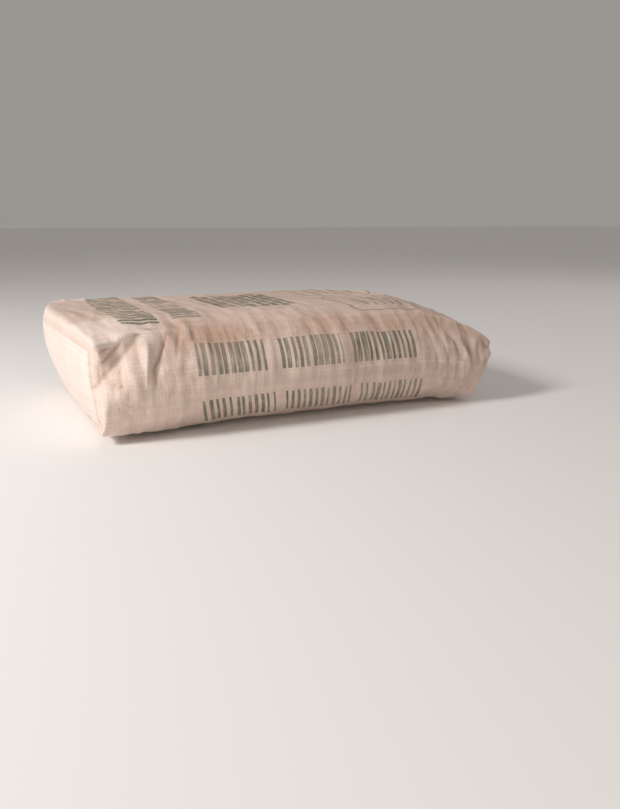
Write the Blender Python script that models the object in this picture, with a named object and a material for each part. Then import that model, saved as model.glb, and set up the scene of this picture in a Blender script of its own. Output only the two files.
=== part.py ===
"""A filled block-bottom cement sack, lying flat on its broad side.

The sack is a woven plastic tube that its filling rounds out. Each end of the tube is folded square
into a block and closed by a welded cover patch. +X runs along the sack, +Y across it, +Z up, and the
origin is under its middle on the floor. All sizes are in metres.
"""
import math

import bmesh
import bpy
from mathutils import Vector

# Filled sack
FILLED_LENGTH = 0.645
FILLED_WIDTH = 0.410
FILLED_HEIGHT = 0.152
CROWN_PRESSED = 0.014

# Block ends: their corners lie in from the sides, up from the floor and down from the flat top
END_NARROWING = 0.0085
END_LIFT = 0.007
LEFT_NEAR_DROP = 0.021
LEFT_FAR_DROP = 0.002
RIGHT_DROP = 0.056
LEFT_EDGE_CROWN = 0.020
RIGHT_EDGE_CROWN = 0.003

# Outward swell of each end: of its upper and lower edges, and of the face between them
LEFT_TOP_BOW = 0.036
RIGHT_EDGE_BOW = 0.016
LEFT_FACE_BULGE = 0.015
RIGHT_FACE_BULGE = 0.016
RIGHT_TOP_LEAN = 0.015
EAR_REACH = 0.006

# Where the swell of a face lies: 0 is at the middle of its height, and more is nearer the top
BULGE_SKEW_RATIO = 0.15

# Roundness of a cross-section: 0 is a sharp rectangle, 0.5 is an ellipse
MIDDLE_ROUNDNESS_RATIO = 0.44
END_ROUNDNESS_RATIO = 0.16

# How full the outline stays towards the ends: a higher power turns down later
WIDTH_POWER = 3.0
SWELL_POWER = 4.0
HEIGHT_POWERS = {-1: 3.0, 1: 5.0}

# Folded corner hollow on each long side, running down from the top to the middle of the end
HOLLOW_DEPTH = 0.007
HOLLOW_WIDTH = 0.016
HOLLOW_REACH = 0.055

# Cover patches
PATCH_SIDE_MARGIN = 0.020
PATCH_EDGE_MARGIN = 0.010
PATCH_THICKNESS = 0.0006
PATCH_CLEARANCE = 0.0003

# Mesh divisions
LENGTH_STEPS = 30
PATCH_LENGTH_STEPS = 14
PATCH_HEIGHT_STEPS = 8

CLOTH_COLOUR = (0.60, 0.50, 0.42, 1.0)
PATCH_COLOUR = (0.76, 0.68, 0.60, 1.0)
CLOTH_ROUGHNESS = 0.55

# Sizes that follow from those above, by end (-1 left, 1 right) or by end and long side (-1 near, 1 far)
END_WIDTH = FILLED_WIDTH - 2.0 * END_NARROWING
CORNER_TOPS = {
    (-1, -1): FILLED_HEIGHT - LEFT_NEAR_DROP,
    (-1, 1): FILLED_HEIGHT - LEFT_FAR_DROP,
    (1, -1): FILLED_HEIGHT - RIGHT_DROP,
    (1, 1): FILLED_HEIGHT - RIGHT_DROP,
}
EDGE_CROWNS = {-1: LEFT_EDGE_CROWN, 1: RIGHT_EDGE_CROWN}
TOP_BOWS = {-1: LEFT_TOP_BOW, 1: RIGHT_EDGE_BOW}
BOTTOM_BOWS = {-1: 0.0, 1: RIGHT_EDGE_BOW}
FACE_BULGES = {-1: LEFT_FACE_BULGE, 1: RIGHT_FACE_BULGE}
TOP_LEANS = {-1: 0.0, 1: RIGHT_TOP_LEAN}
PATCH_LENGTH = END_WIDTH - 2.0 * PATCH_SIDE_MARGIN
PATCH_REACH = PATCH_CLEARANCE + PATCH_THICKNESS


def blend(start, end, share):
    """Value that goes from start at share 0 to end at share 1."""
    return start + (end - start) * share


def station_lines():
    """Grid lines along the sack from -1 to 1, closer together towards the ends."""
    return [math.sin(math.pi * (step / LENGTH_STEPS - 0.5)) for step in range(LENGTH_STEPS + 1)]


def cross_lines(patch_share, steps):
    """Grid lines across an end from -1 to 1, with a line on each edge of its patch."""
    inner = [patch_share * (2.0 * step / steps - 1.0) for step in range(steps + 1)]
    return [-1.0] + inner + [1.0]


def patch_length_lines():
    """Grid lines across the ends."""
    return cross_lines(PATCH_LENGTH / END_WIDTH, PATCH_LENGTH_STEPS)


def patch_height_lines():
    """Grid lines up the ends, with the margin above and below the patch as it is on the lowest corner."""
    lowest = min(CORNER_TOPS.values()) - END_LIFT
    return cross_lines(1.0 - 2.0 * PATCH_EDGE_MARGIN / lowest, PATCH_HEIGHT_STEPS)


def end_top(end, v):
    """Height of the upper edge of an end, at v across it."""
    straight = blend(CORNER_TOPS[end, -1], CORNER_TOPS[end, 1], (v + 1.0) / 2.0)
    return min(straight + EDGE_CROWNS[end] * (1.0 - v * v), FILLED_HEIGHT)


def end_swell(end, v, w):
    """How far an end stands out beyond its corners, at v across it and w up it."""
    bow = blend(BOTTOM_BOWS[end], TOP_BOWS[end], (w + 1.0) / 2.0) * (1.0 - v * v)
    bulge = FACE_BULGES[end] * (1.0 - v ** 4) * (1.0 - w * w) * (1.0 + BULGE_SKEW_RATIO * w)
    return bow + bulge + TOP_LEANS[end] * w


def corner_x(end):
    """Distance of an end's corners from the middle, so that its swell and its patch reach full length."""
    furthest = max(end_swell(end, 0.0, w) for w in patch_height_lines())
    return FILLED_LENGTH / 2.0 - PATCH_REACH - furthest


def corner_hollow(end, side, x, z):
    """Depth of the folded hollow at a point of a long side, near the end on that side."""
    top = CORNER_TOPS[end, side]
    run_x = HOLLOW_REACH
    run_z = -(top - END_LIFT) / 2.0
    along_x = HOLLOW_REACH - (CORNER_X[end] - abs(x))
    along_z = z - top
    length = math.hypot(run_x, run_z)
    across = (along_x * run_z - along_z * run_x) / length
    along = (along_x * run_x + along_z * run_z) / length
    outside = max(0.0, -along, along - length)
    return HOLLOW_DEPTH * math.exp(-(across ** 2 + outside ** 2) / HOLLOW_WIDTH ** 2)


CORNER_X = {end: corner_x(end) for end in (-1, 1)}


def surface_point(u, v, w):
    """Point of the sack for a point (u, v, w) on the surface of a cube from -1 to 1."""
    end = -1 if u < 0.0 else 1
    to_end_wide = abs(u) ** WIDTH_POWER
    to_end_high = abs(u) ** HEIGHT_POWERS[end]
    roundness = blend(MIDDLE_ROUNDNESS_RATIO, END_ROUNDNESS_RATIO, to_end_high)
    half_width = blend(FILLED_WIDTH, END_WIDTH, to_end_wide) / 2.0
    top = end_top(end, v)
    free_height = blend(FILLED_HEIGHT + 2.0 * CROWN_PRESSED, top - END_LIFT, to_end_high)
    middle = blend(FILLED_HEIGHT, END_LIFT + top, to_end_high) / 2.0

    y = half_width * v * math.sqrt(1.0 - roundness * w * w)
    z = middle + free_height / 2.0 * w * math.sqrt(1.0 - roundness * v * v)
    z = min(max(z, 0.0), FILLED_HEIGHT)

    x = u * (CORNER_X[end] + end_swell(end, v, w) * abs(u) ** SWELL_POWER)

    ear = EAR_REACH * (abs(u) * abs(v) * abs(w)) ** 12
    x += math.copysign(ear, u)
    y += math.copysign(ear, v)

    if abs(v) == 1.0:
        y -= math.copysign(corner_hollow(end, int(v), x, z), v)
    return (x, y, z)


def end_face_point(end, v, w, offset):
    """Point that lies offset out from an end face, square to it."""
    step = 0.01
    point = Vector(surface_point(end, v, w))
    across = Vector(surface_point(end, v + step, w)) - Vector(surface_point(end, v - step, w))
    up = Vector(surface_point(end, v, w + step)) - Vector(surface_point(end, v, w - step))
    outward = across.cross(up).normalized()
    return point + outward * offset * end


def cloth_material(name, colour):
    """Woven plastic cloth of one colour."""
    material = bpy.data.materials.new(name)
    material.use_nodes = True
    shader = material.node_tree.nodes["Principled BSDF"]
    shader.inputs["Base Color"].default_value = colour
    shader.inputs["Roughness"].default_value = CLOTH_ROUGHNESS
    shader.inputs["Metallic"].default_value = 0.0
    material.diffuse_color = colour
    return material


def add_object(name, mesh_builder, material):
    """Object with the builder's mesh, its faces pointing out and shaded smooth."""
    bmesh.ops.recalc_face_normals(mesh_builder, faces=mesh_builder.faces)
    mesh = bpy.data.meshes.new(name)
    mesh_builder.to_mesh(mesh)
    mesh_builder.free()
    mesh.materials.append(material)
    mesh.shade_smooth()
    mesh.set_sharp_from_angle(angle=math.radians(50.0))
    piece = bpy.data.objects.new(name, mesh)
    bpy.context.collection.objects.link(piece)
    return piece


def grid_faces(mesh_builder, corner, rows, columns):
    """Quads between the grid vertices that corner(row, column) gives."""
    for row in range(rows):
        for column in range(columns):
            mesh_builder.faces.new((
                corner(row, column),
                corner(row, column + 1),
                corner(row + 1, column + 1),
                corner(row + 1, column),
            ))


def make_sack_body(u_lines, v_lines, w_lines, material):
    """Closed skin of the filled sack."""
    mesh_builder = bmesh.new()
    last = (len(u_lines) - 1, len(v_lines) - 1, len(w_lines) - 1)
    made = {}

    def vertex(i, j, k):
        if (i, j, k) not in made:
            made[i, j, k] = mesh_builder.verts.new(surface_point(u_lines[i], v_lines[j], w_lines[k]))
        return made[i, j, k]

    for side in (0, 1):
        grid_faces(mesh_builder, lambda j, k: vertex(side * last[0], j, k), last[1], last[2])
        grid_faces(mesh_builder, lambda i, k: vertex(i, side * last[1], k), last[0], last[2])
        grid_faces(mesh_builder, lambda i, j: vertex(i, j, side * last[2]), last[0], last[1])
    return add_object("sack_body", mesh_builder, material)


def make_end_patch(name, end, v_lines, w_lines, material):
    """Thin cover patch that follows an end face, end being -1 or 1."""
    mesh_builder = bmesh.new()
    rows = len(v_lines) - 1
    columns = len(w_lines) - 1

    def sheet(offset):
        vertices = []
        for v in v_lines:
            row = []
            for w in w_lines:
                row.append(mesh_builder.verts.new(end_face_point(end, v, w, offset)))
            vertices.append(row)
        return vertices

    inner = sheet(PATCH_CLEARANCE)
    outer = sheet(PATCH_REACH)
    grid_faces(mesh_builder, lambda j, k: inner[j][k], rows, columns)
    grid_faces(mesh_builder, lambda j, k: outer[j][k], rows, columns)
    layers = (inner, outer)
    for edge in (0, -1):
        grid_faces(mesh_builder, lambda layer, j: layers[layer][j][edge], 1, rows)
        grid_faces(mesh_builder, lambda layer, k: layers[layer][edge][k], 1, columns)
    return add_object(name, mesh_builder, material)


def main():
    for piece in list(bpy.data.objects):
        bpy.data.objects.remove(piece)
    u_lines = station_lines()
    v_lines = patch_length_lines()
    w_lines = patch_height_lines()
    make_sack_body(u_lines, v_lines, w_lines, cloth_material("woven_cloth", CLOTH_COLOUR))
    patch_cloth = cloth_material("patch_cloth", PATCH_COLOUR)
    make_end_patch("end_patch_left", -1, v_lines[1:-1], w_lines[1:-1], patch_cloth)
    make_end_patch("end_patch_right", 1, v_lines[1:-1], w_lines[1:-1], patch_cloth)


main()
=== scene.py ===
"""Looks of a filled cement sack of woven plastic cloth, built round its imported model.

Sizes are in metres. +X runs along the sack, the long side that the photo shows faces -Y, and +Z is up.
An end is -1 (left) or 1 (right), and a side is -1 (near) or 1 (far).
"""
import math

import bpy
import numpy as np
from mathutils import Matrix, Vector


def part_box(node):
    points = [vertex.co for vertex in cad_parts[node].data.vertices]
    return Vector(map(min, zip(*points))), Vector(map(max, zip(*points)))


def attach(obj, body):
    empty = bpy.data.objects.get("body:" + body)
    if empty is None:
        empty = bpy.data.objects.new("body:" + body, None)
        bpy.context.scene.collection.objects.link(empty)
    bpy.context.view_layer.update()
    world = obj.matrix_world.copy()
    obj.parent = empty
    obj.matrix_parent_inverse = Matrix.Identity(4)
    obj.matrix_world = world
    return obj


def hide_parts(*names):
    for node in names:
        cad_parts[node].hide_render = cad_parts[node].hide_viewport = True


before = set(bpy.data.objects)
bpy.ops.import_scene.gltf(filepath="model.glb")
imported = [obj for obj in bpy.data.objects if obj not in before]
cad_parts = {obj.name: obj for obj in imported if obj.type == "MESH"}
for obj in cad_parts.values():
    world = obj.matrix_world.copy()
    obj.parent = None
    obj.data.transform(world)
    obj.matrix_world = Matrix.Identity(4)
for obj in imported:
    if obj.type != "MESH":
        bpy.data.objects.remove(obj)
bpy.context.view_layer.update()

# Form of the filled sack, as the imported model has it
CROWN_PRESSED = 0.014
END_NARROWING = 0.0085
END_LIFT = 0.007
CORNER_DROPS = {(-1, -1): 0.021, (-1, 1): 0.002, (1, -1): 0.056, (1, 1): 0.056}
EDGE_CROWNS = {-1: 0.02, 1: 0.003}
TOP_BOWS = {-1: 0.036, 1: 0.016}
BOTTOM_BOWS = {-1: 0.0, 1: 0.016}
FACE_BULGES = {-1: 0.015, 1: 0.016}
TOP_LEANS = {-1: 0.0, 1: 0.015}
BULGE_SKEW = 0.15
MIDDLE_ROUNDNESS = 0.44
END_ROUNDNESS = 0.16
HEIGHT_POWERS = {-1: 3.0, 1: 5.0}
SWELL_POWER = 4.0
EAR_REACH = 0.008

BODY_LOW, BODY_HIGH = (np.array(corner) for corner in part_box("sack_body"))
LENGTH, WIDTH, HEIGHT = BODY_HIGH - BODY_LOW
END_WIDTH = WIDTH - 2.0 * END_NARROWING

# Flat cloth: a tube of this length, folded to a block of this width and height at its ends. The places of
# an end's cloth lie the offset further along than the tube's.
CLOTH_LENGTH = 0.64
BLOCK_WIDTH = 0.376
BLOCK_HEIGHT = 0.112
TUBE_GIRTH = 2.0 * (BLOCK_WIDTH + BLOCK_HEIGHT)
END_CLOTH_OFFSET = 1.0
TAPE_WIDTH = 0.0026
TAPE_HEIGHT = 0.00022
CRINKLE_HEIGHT = 0.0006

# Mesh cells along the sack, across its width and up its height, closer together towards the ends
CELLS_LONG = 142
CELLS_WIDE = 54
CELLS_HIGH = 16
RING_CELLS = 2 * (CELLS_WIDE + CELLS_HIGH)
GIRTH_STEP = TUBE_GIRTH / RING_CELLS
EVEN_STATIONS = np.linspace(-1.0, 1.0, CELLS_LONG + 1)
STATIONS = EVEN_STATIONS + 0.35 * np.sin(np.pi * EVEN_STATIONS) / np.pi

# Cover patches: half their size up and across an end, in the flat cloth, and how thick their rim is
PATCH_HALF_HEIGHT = 0.045
PATCH_HALF_WIDTH = 0.168
PATCH_CLEARANCE = 0.00015
PATCH_THICKNESS = 0.00025
RIM_SHARE = 0.2

# Hollow under the flap of a corner, by (end, side): the flap's edge runs from its root to its tip, and
# the valley from that root to the foot, as (x, z), and then the hollow's depth
CORNER_HOLLOWS = {
    (-1, -1): ((-0.219, 0.145), (-0.290, 0.124), (-0.291, 0.074), 0.0160),
    (-1, 1): ((-0.226, 0.147), (-0.288, 0.138), (-0.292, 0.096), 0.0110),
    (1, 1): ((0.232, 0.112), (0.288, 0.093), (0.290, 0.066), 0.0090),
}

# Creases of the near side as the photo shows them: the path as (x, z), the depth (a ridge's is below 0),
# and the widths on the left and on the right of the path as it runs
NEAR_CREASES = (
    (((-0.2225, 0.130), (-0.2250, 0.112), (-0.2290, 0.092), (-0.2320, 0.070)), -0.0048, 0.0045, 0.0140),
    (((-0.1930, 0.138), (-0.2080, 0.116), (-0.2200, 0.096), (-0.2205, 0.068)), 0.0052, 0.0110, 0.0034),
    (((-0.2560, 0.104), (-0.2600, 0.086), (-0.2590, 0.070)), 0.0030, 0.0060, 0.0060),
    (((-0.2700, 0.066), (-0.2520, 0.060), (-0.2340, 0.062)), -0.0018, 0.0050, 0.0050),
    (((-0.2720, 0.054), (-0.2580, 0.046), (-0.2480, 0.034)), 0.0014, 0.0030, 0.0040),
    (((-0.2620, 0.058), (-0.2480, 0.050), (-0.2380, 0.038)), 0.0012, 0.0028, 0.0040),
    (((-0.2120, 0.104), (-0.2090, 0.086), (-0.2060, 0.062)), -0.0016, 0.0060, 0.0050),
    (((-0.1780, 0.137), (-0.1860, 0.122), (-0.1900, 0.106)), 0.0022, 0.0050, 0.0030),
    (((-0.1600, 0.138), (-0.1660, 0.124)), 0.0014, 0.0040, 0.0030),
    (((-0.2480, 0.135), (-0.2640, 0.119), (-0.2850, 0.099)), 0.0022, 0.0032, 0.0022),
    (((-0.2380, 0.142), (-0.2560, 0.130), (-0.2760, 0.113)), -0.0012, 0.0030, 0.0030),
    (((-0.2900, 0.121), (-0.2820, 0.118), (-0.2660, 0.124)), 0.0042, 0.0024, 0.0026),
    (((-0.2760, 0.088), (-0.2680, 0.078), (-0.2560, 0.074)), 0.0012, 0.0030, 0.0024),
    (((-0.2660, 0.044), (-0.2560, 0.038), (-0.2420, 0.040)), 0.0010, 0.0026, 0.0030),
    (((-0.2440, 0.056), (-0.2340, 0.044), (-0.2300, 0.030)), 0.0010, 0.0030, 0.0026),
    (((0.1800, 0.128), (0.1890, 0.104), (0.1950, 0.070), (0.1970, 0.026)), 0.0018, 0.0060, 0.0035),
    (((0.2000, 0.120), (0.2085, 0.100), (0.2100, 0.080)), 0.0022, 0.0040, 0.0030),
    (((0.2120, 0.082), (0.2150, 0.060), (0.2140, 0.038)), 0.0018, 0.0050, 0.0035),
    (((0.2240, 0.108), (0.2330, 0.092), (0.2340, 0.066)), 0.0030, 0.0050, 0.0035),
    (((0.2440, 0.092), (0.2490, 0.070), (0.2500, 0.040)), -0.0034, 0.0030, 0.0060),
    (((0.2530, 0.102), (0.2570, 0.080), (0.2580, 0.046)), 0.0040, 0.0050, 0.0030),
    (((0.2600, 0.040), (0.2540, 0.028), (0.2450, 0.022)), 0.0020, 0.0040, 0.0030),
    (((0.1680, 0.132), (0.1690, 0.104), (0.1660, 0.082)), 0.0009, 0.0040, 0.0030),
)

# Plucked spots of the cloth: the place, how far round it they reach, and the way that they are pulled
PLUCKS = (
    ((0.2930, -0.1930, 0.0960), 0.0060, (0.0050, -0.0020, 0.0015)),
    ((0.2930, -0.1930, 0.0865), 0.0050, (-0.0045, 0.0030, 0.0)),
    ((0.2940, -0.1930, 0.0750), 0.0080, (0.0050, -0.0025, 0.0)),
    ((-0.2900, -0.1900, 0.1280), 0.0070, (-0.0030, -0.0035, 0.0030)),
    ((-0.2900, 0.1900, 0.1400), 0.0080, (-0.0030, 0.0040, 0.0030)),
    ((0.2930, 0.1930, 0.0960), 0.0070, (0.0040, 0.0030, 0.0020)),
    ((-0.2900, -0.1900, 0.0080), 0.0070, (-0.0025, -0.0030, -0.0010)),
    ((0.2930, -0.1930, 0.0090), 0.0070, (0.0030, -0.0030, 0.0010)),
)

# Creases of the ends, by end: the path as (y, z) and then as for the sides
END_CREASES = {
    -1: (
        (((-0.1920, 0.0760), (-0.1700, 0.0740), (-0.1500, 0.0765)), 0.0007, 0.0030, 0.0022),
        (((-0.1700, 0.1130), (-0.1450, 0.1220), (-0.1150, 0.1280)), 0.0009, 0.0050, 0.0030),
        (((0.1880, 0.0560), (0.1620, 0.0600), (0.1400, 0.0580)), 0.0008, 0.0040, 0.0030),
        (((0.0600, 0.1340), (0.0680, 0.1180), (0.0640, 0.1010)), 0.0006, 0.0050, 0.0030),
    ),
    1: (
        (((-0.1900, 0.0520), (-0.1660, 0.0480), (-0.1400, 0.0500)), 0.0010, 0.0040, 0.0030),
        (((-0.1600, 0.0900), (-0.1300, 0.0950), (-0.0900, 0.0960)), 0.0009, 0.0050, 0.0030),
        (((0.1900, 0.0600), (0.1650, 0.0550), (0.1450, 0.0580)), 0.0010, 0.0040, 0.0030),
        (((0.0300, 0.0960), (0.0380, 0.0780), (0.0340, 0.0600)), 0.0008, 0.0050, 0.0030),
    ),
}

# Simulation: frames, full slack of the cloth and its shares in places, how firmly the filling holds pressed
# and free cloth, and the height of the bumps that start the buckling
SIM_FRAMES = 30
FULL_SLACK = 0.035
BROAD_SLACK = 0.05
SIDE_SLACK = 0.03
SIDE_END_SLACK = 0.6
END_SLACK = 0.1
PHOTO_CORNER_SLACK = 0.12
PRESSED_HOLD = 0.5
FREE_HOLD = 0.1
SEED_HEIGHT = 0.0005

# Relief of the cloth: heights, and random fields as (seed, grid step, reach along the tube, reach round it)
FLOOR_GAP = 0.0002
WRINKLE_HEIGHT = 0.00028
CRUMPLE_HEIGHT = 0.0008
DENT_HEIGHT = 0.00055
LAY_FLAT_RIDGE = 0.0009
HOLLOW_SPAN = 0.0012
SLACK_FIELD = (11, 0.004, 0.006, 0.03)
FINE_FIELD = (21, 0.0015, 0.003, 0.018)
BROAD_FIELD = (22, 0.003, 0.007, 0.034)
PATCHY_FIELD = (23, 0.01, 0.06, 0.05)
CRUMPLE_FIELD = (24, 0.002, 0.011, 0.014)
DENT_FIELD = (25, 0.005, 0.045, 0.032)
SMALL_DENT_FIELD = (26, 0.004, 0.022, 0.026)

# Rounding of the ends' folded edges: its reach and rounds, and the corners that stay sharp
EDGE_REACH = 0.009
EDGE_ROUNDS = 10
SHARP_REACH = 0.014
END_MIDDLE_Z = 0.062

# Where the long sides begin across the sack and over what span, and where, along it, the near left corner
# ends and the near side's seeded creases begin
SIDE_START_Y = 0.12
SIDE_FADE = 0.05
PHOTO_CORNER_X = -0.19
DRAWN_CREASES_X = -0.205

# Rows of print on each long side: (lowest, highest) round the tube, (left, right) of each group of bars
# along it, and then the row's slant, its seed and how much slimmer its bars are
SIDE_ROWS = (
    (0.251, 0.2945, ((-0.19, -0.08), (-0.06, 0.044), (0.059, 0.18)), 0.0, 1.0, 0.0),
    (0.1715, 0.217, ((-0.17, -0.055), (-0.038, 0.074), (0.09, 0.212)), 0.3, 2.0, 0.15),
)
BAR_PITCH = 0.01
SIDE_FILLED = 1.0

# Print of the broad faces: (left, right, seed) of its bar rows, a brick panel and two outlined boxes
FACE_ROWS = ((-0.272, -0.222, 3.0), (-0.2, -0.158, 4.0))
FACE_ROW_REACH = 0.15
FACE_FILLED = 0.88
PANEL_LEFT, PANEL_RIGHT = -0.108, 0.036
PANEL_REACH = 0.084
BRICKS = {
    "Scale": 1.0, "Brick Width": 0.042, "Row Height": 0.018, "Mortar Size": 0.0022, "Mortar Smooth": 0.1,
    "Color1": (1.0, 1.0, 1.0, 1.0), "Color2": (1.0, 1.0, 1.0, 1.0), "Mortar": (0.0, 0.0, 0.0, 1.0),
}
BOX_ALONG = 0.165
BOX_ASIDE = 0.082
BOX_HALF_LENGTH = 0.048
BOX_HALF_WIDTH = 0.05
OUTLINE_LOW, OUTLINE_HIGH = 0.0135, 0.016
LINES_HALF_LENGTH = 0.04
LINES_HALF_WIDTH = 0.044
LINE_PITCH = 0.016

# Places of the cloth's tones and of its painted light, round the tube and along it
SHOULDER_LOW, SHOULDER_HIGH = 0.29, 0.33
FLAP_LOW, FLAP_HIGH = 0.296, 0.37
FLAP_LIGHT_FULL, FLAP_LIGHT_END = -0.262, -0.215
DUST_NONE, DUST_FULL = -0.265, -0.225
LOWER_LIGHT_FULL, LOWER_LIGHT_NONE = 0.17, 0.24

# Colours of the cloth, its dirt and its print, and of its painted light and shade
CLEAN_CLOTH = (0.765, 0.59, 0.5, 1.0)
AGED_CLOTH = (0.645, 0.48, 0.395, 1.0)
CLEAN_PATCH = (0.83, 0.725, 0.67, 1.0)
AGED_PATCH = (0.74, 0.615, 0.545, 1.0)
END_CLOTH = (0.82, 0.7, 0.64, 1.0)
# painted light: the lower sides made lighter in place of light bounced up from the floor
LOWER_PAINTED_LIGHT = (0.86, 0.7, 0.62, 1.0)
# painted light: the left flaps made lighter in place of light falling from above-left on that facet
FLAP_PAINTED_LIGHT = (0.9, 0.76, 0.69, 1.0)
STAIN = (0.55, 0.36, 0.26, 1.0)
LIGHT_STREAK = (0.9, 0.8, 0.73, 1.0)
DARK_STREAK = (0.5, 0.375, 0.31, 1.0)
# painted shade: a dark line along the patch rims in place of the shadow of their edges
RIM_SHADE = (0.46, 0.33, 0.26, 1.0)
DUST = (0.56, 0.35, 0.25, 1.0)
INK = (0.125, 0.142, 0.088, 1.0)
SPECK = (0.36, 0.25, 0.19, 1.0)
# dirt and painted shade in the creases
CREASE_DIRT_AND_SHADE = (0.38, 0.265, 0.2, 1.0)
RUBBED_RIDGE = (0.92, 0.84, 0.78, 1.0)

# Studio: each light's place, width, height, power and colour, the point that they face, and the camera
FLOOR_SIZE = 60.0
FLOOR_COLOUR = (0.9, 0.89, 0.88, 1.0)
WORLD_COLOUR = (1.0, 0.94, 0.885, 1.0)
WORLD_STRENGTH = 0.32
LIGHTS = {
    "key": ((-2.1, -0.42, 1.4), 0.6, 0.6, 46.5, (1.0, 0.965, 0.94)),
    "fill": ((-1.5, -1.95, 0.36), 1.8, 0.3, 6.8, (1.0, 0.94, 0.88)),
    "side": ((2.2, 0.4, 2.0), 1.8, 1.8, 7.0, (1.0, 0.95, 0.91)),
}
LIT_POINT = (0.0, 0.0, 0.08)
SENSOR = 36.0
PHOTO_HEIGHT_PIXELS = 809.0
FOCAL_PIXELS = 734.25
EYE = (-0.4251, -1.0734, 0.2703)
EYE_PITCH = 14.01
EYE_TURN = -25.365


def part_way(value, start, span):
    """How far a value is from start over a span, from 0 to 1."""
    return np.clip((value - start) / span, 0.0, 1.0)


def by_end(u, values):
    """The left end's value where u is on the left half, and otherwise the right end's."""
    return np.where(u < 0.0, values[-1], values[1])


def end_tops(u, v):
    """Heights of the upper edge of the end that u is nearer to, at v across it."""
    near = HEIGHT - by_end(u, {end: CORNER_DROPS[end, -1] for end in (-1, 1)})
    far = HEIGHT - by_end(u, {end: CORNER_DROPS[end, 1] for end in (-1, 1)})
    straight = near + (far - near) * (v + 1.0) / 2.0
    return np.minimum(straight + by_end(u, EDGE_CROWNS) * (1.0 - v * v), HEIGHT)


def end_swells(u, v, w):
    """How far the end that u is nearer to stands out beyond its corners, at v across it and w up it."""
    upper = (w + 1.0) / 2.0
    bow = (by_end(u, TOP_BOWS) * upper + by_end(u, BOTTOM_BOWS) * (1.0 - upper)) * (1.0 - v * v)
    bulge = by_end(u, FACE_BULGES) * (1.0 - v ** 4) * (1.0 - w * w) * (1.0 + BULGE_SKEW * w)
    return bow + bulge + by_end(u, TOP_LEANS) * w


def corner_x(end):
    """Distance of an end's corners from the middle, so that the end's swell reaches the full length."""
    heights = np.linspace(-1.0, 1.0, 201)
    return LENGTH / 2.0 - end_swells(np.full(201, float(end)), 0.0, heights).max()


CORNER_X = {end: corner_x(end) for end in (-1, 1)}


def form_points(u, v, w):
    """Points of the filled sack for points (u, v, w) on the surface of a cube from -1 to 1."""
    to_end_wide = np.abs(u) ** 3
    to_end_high = np.abs(u) ** by_end(u, HEIGHT_POWERS)
    roundness = MIDDLE_ROUNDNESS + (END_ROUNDNESS - MIDDLE_ROUNDNESS) * to_end_high
    half_width = (WIDTH + (END_WIDTH - WIDTH) * to_end_wide) / 2.0
    top = end_tops(u, v)
    crowned = HEIGHT + 2.0 * CROWN_PRESSED
    free_height = crowned + (top - END_LIFT - crowned) * to_end_high
    middle = (HEIGHT + (END_LIFT + top - HEIGHT) * to_end_high) / 2.0

    y = half_width * v * np.sqrt(1.0 - roundness * w * w)
    z = np.clip(middle + free_height / 2.0 * w * np.sqrt(1.0 - roundness * v * v), 0.0, HEIGHT)
    x = u * (by_end(u, CORNER_X) + end_swells(u, v, w) * np.abs(u) ** SWELL_POWER)

    ear = EAR_REACH * np.abs(u) ** 14 * np.abs(v) ** 14 * np.abs(w) ** 8
    x = x + np.sign(u) * ear
    y = y + np.sign(v) * ear * 0.7
    return np.stack([x, y, z], axis=-1)


def ring_places(cells):
    """(v, w) round a cross-section at ring positions: from the middle of the bottom towards -Y."""
    half = CELLS_WIDE / 2.0
    marks = np.cumsum([0.0, half, CELLS_HIGH, CELLS_WIDE, CELLS_HIGH, half])
    v = np.interp(cells, marks, [0.0, -1.0, -1.0, 1.0, 1.0, 0.0])
    w = np.interp(cells, marks, [-1.0, -1.0, 1.0, 1.0, -1.0, -1.0])
    return v, w


def tube_points():
    """Points (station, ring, xyz) of the tube, evenly spaced round it and square at the ends."""
    dense = np.linspace(0.0, RING_CELLS, RING_CELLS * 6 + 1)
    even = np.arange(RING_CELLS, dtype=float)
    rows = []
    for u in STATIONS:
        v, w = ring_places(dense)
        ring = form_points(np.full_like(v, u), v, w)
        run = np.concatenate([[0.0], np.cumsum(np.linalg.norm(np.diff(ring, axis=0), axis=1))])
        spread = np.interp(even / RING_CELLS * run[-1], run, dense)
        v, w = ring_places(spread + (even - spread) * abs(u) ** 6)
        rows.append(form_points(np.full_like(v, u), v, w))
    return np.array(rows)


def ring_index(row, column):
    """Ring position of a point on the edge of an end: row across its width, column up its height."""
    half = CELLS_WIDE // 2
    if column == CELLS_HIGH:
        return half + CELLS_HIGH + row
    if row == 0:
        return half + column
    if row == CELLS_WIDE:
        return half + CELLS_HIGH + CELLS_WIDE + CELLS_HIGH - column
    return (half - row) % RING_CELLS


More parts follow.
